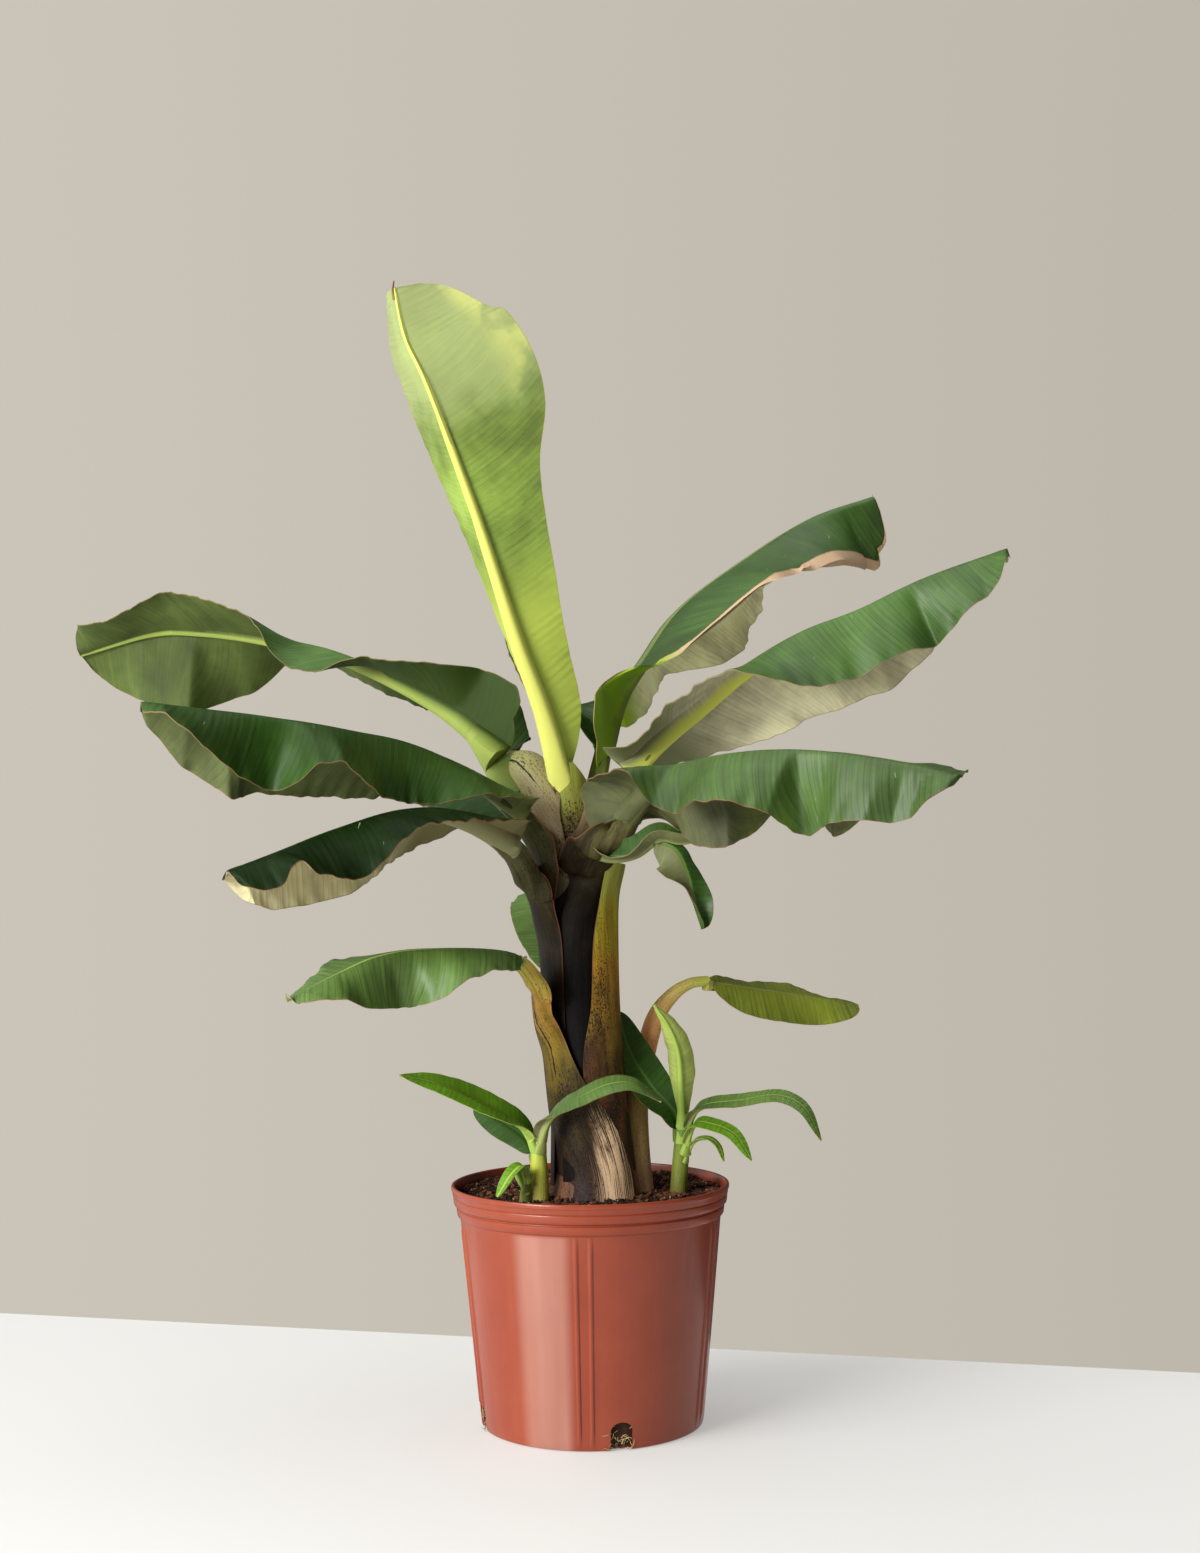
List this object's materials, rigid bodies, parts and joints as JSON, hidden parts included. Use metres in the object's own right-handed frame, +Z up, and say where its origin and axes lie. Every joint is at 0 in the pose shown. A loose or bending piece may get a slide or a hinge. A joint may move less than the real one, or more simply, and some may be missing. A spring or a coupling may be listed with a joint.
{
  "type": "banana plant",
  "caption": "Young banana plant in a tapered round nursery pot: a trunk of wrapped leaf sheaths carries broad drooping leaves on thick midribs, with side shoots at its foot",
  "frame": {"origin": "centre of the pot's flat underside", "axes": "+Z up along the plant's height, -Y towards the viewer of the picture, +X to the viewer's right"},
  "size_m": [0.9027, 0.6099, 1.0233],
  "materials": {
    "pot": "satin moulded terracotta-coloured plastic",
    "soil": "dark bark-based potting mix",
    "sheath": "smooth fleshy leaf sheaths, green to near black",
    "leaf": "thin green leaf blade with a waxy upper face"
  },
  "bodies": {
    "root": {"pot": "pot", "soil": "soil", "pseudostem": "sheath", "shoot_right": "sheath", "stalk_small_right": "leaf", "pup_left_stem": "sheath", "pup_low_stem": "sheath", "pup_right_stem": "sheath", "leaf_top": "leaf", "leaf_upper_left": "leaf", "leaf_mid_left": "leaf", "leaf_lower_left": "leaf", "leaf_small_left": "leaf", "leaf_upper_right": "leaf", "leaf_second_right": "leaf", "leaf_third_right": "leaf", "leaf_curled_right": "leaf", "leaf_small_right": "leaf", "leaf_back_upper": "leaf", "leaf_back_left": "leaf", "leaf_back_right": "leaf", "leaf_back_low": "leaf", "pup_left_leaf_long": "leaf", "pup_left_leaf_back": "leaf", "pup_left_leaf_front": "leaf", "pup_low_leaf": "leaf", "pup_right_leaf_dark": "leaf", "pup_right_leaf_upright": "leaf", "pup_right_leaf_arching": "leaf", "pup_right_leaf_drooping": "leaf"}
  },
  "joints": []
}
